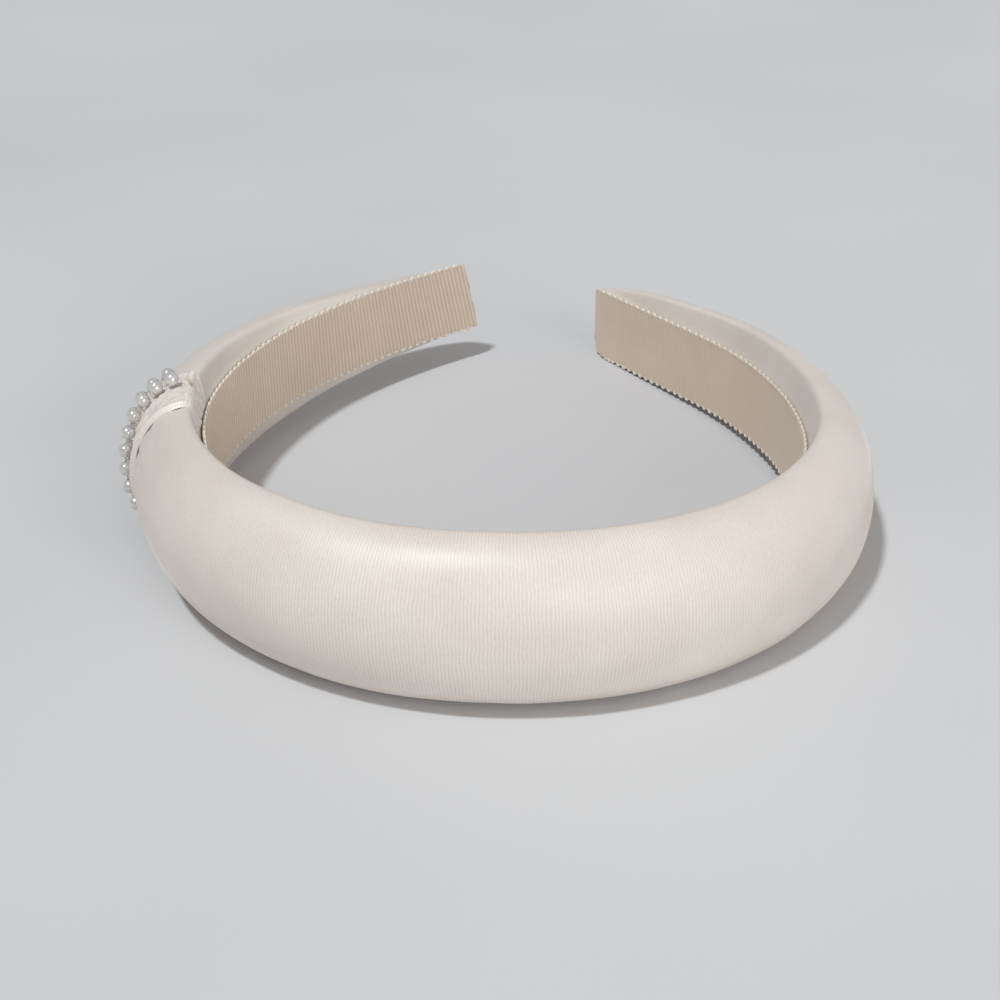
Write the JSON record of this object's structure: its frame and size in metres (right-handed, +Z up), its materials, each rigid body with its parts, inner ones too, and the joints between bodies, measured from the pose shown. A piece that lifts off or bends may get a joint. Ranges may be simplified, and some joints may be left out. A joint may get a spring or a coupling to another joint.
{
  "type": "padded headband",
  "caption": "Padded satin headband for hair with a ribbed ribbon lining and a gathered wrap set with small imitation pearls on one arm.",
  "frame": {"origin": "middle of the headband's footprint, on the surface it lies on", "axes": "+Z up, the band lying on its lower edge; +Y from the crown towards the open tips; +X towards the arm without the wrap"},
  "size_m": [0.1422, 0.1602, 0.0322],
  "materials": {
    "core_plastic": "moulded, slightly translucent white",
    "tape": "double-sided tape",
    "foam": "open-cell foam",
    "satin": "champagne satin, soft sheen",
    "adhesive": "hot-melt, clear amber",
    "grosgrain": "matt grosgrain, cross ribs",
    "satin_wrap": "gathered champagne satin",
    "pearl": "pearl lacquer",
    "thread": "sewing thread"
  },
  "bodies": {
    "root": {"band_core": "core_plastic", "foam_tape": "tape", "foam_pad": "foam", "satin_cover": "satin", "liner_adhesive": "adhesive", "ribbon_liner": "grosgrain", "gathered_wrap": "satin_wrap", "beading_thread_front": "thread", "beading_thread_rear": "thread", "couching_stitches": "thread", "wrap_knot": "satin_wrap", "pearl_front_01": "pearl", "pearl_front_02": "pearl", "pearl_front_03": "pearl", "pearl_front_04": "pearl", "pearl_front_05": "pearl", "pearl_front_06": "pearl", "pearl_front_07": "pearl", "pearl_front_08": "pearl", "pearl_front_09": "pearl", "pearl_front_10": "pearl", "pearl_front_11": "pearl", "pearl_rear_01": "pearl", "pearl_rear_02": "pearl", "pearl_rear_03": "pearl", "pearl_rear_04": "pearl", "pearl_rear_05": "pearl", "pearl_rear_06": "pearl", "pearl_rear_07": "pearl", "pearl_rear_08": "pearl", "pearl_rear_09": "pearl", "pearl_rear_10": "pearl"}
  },
  "joints": []
}
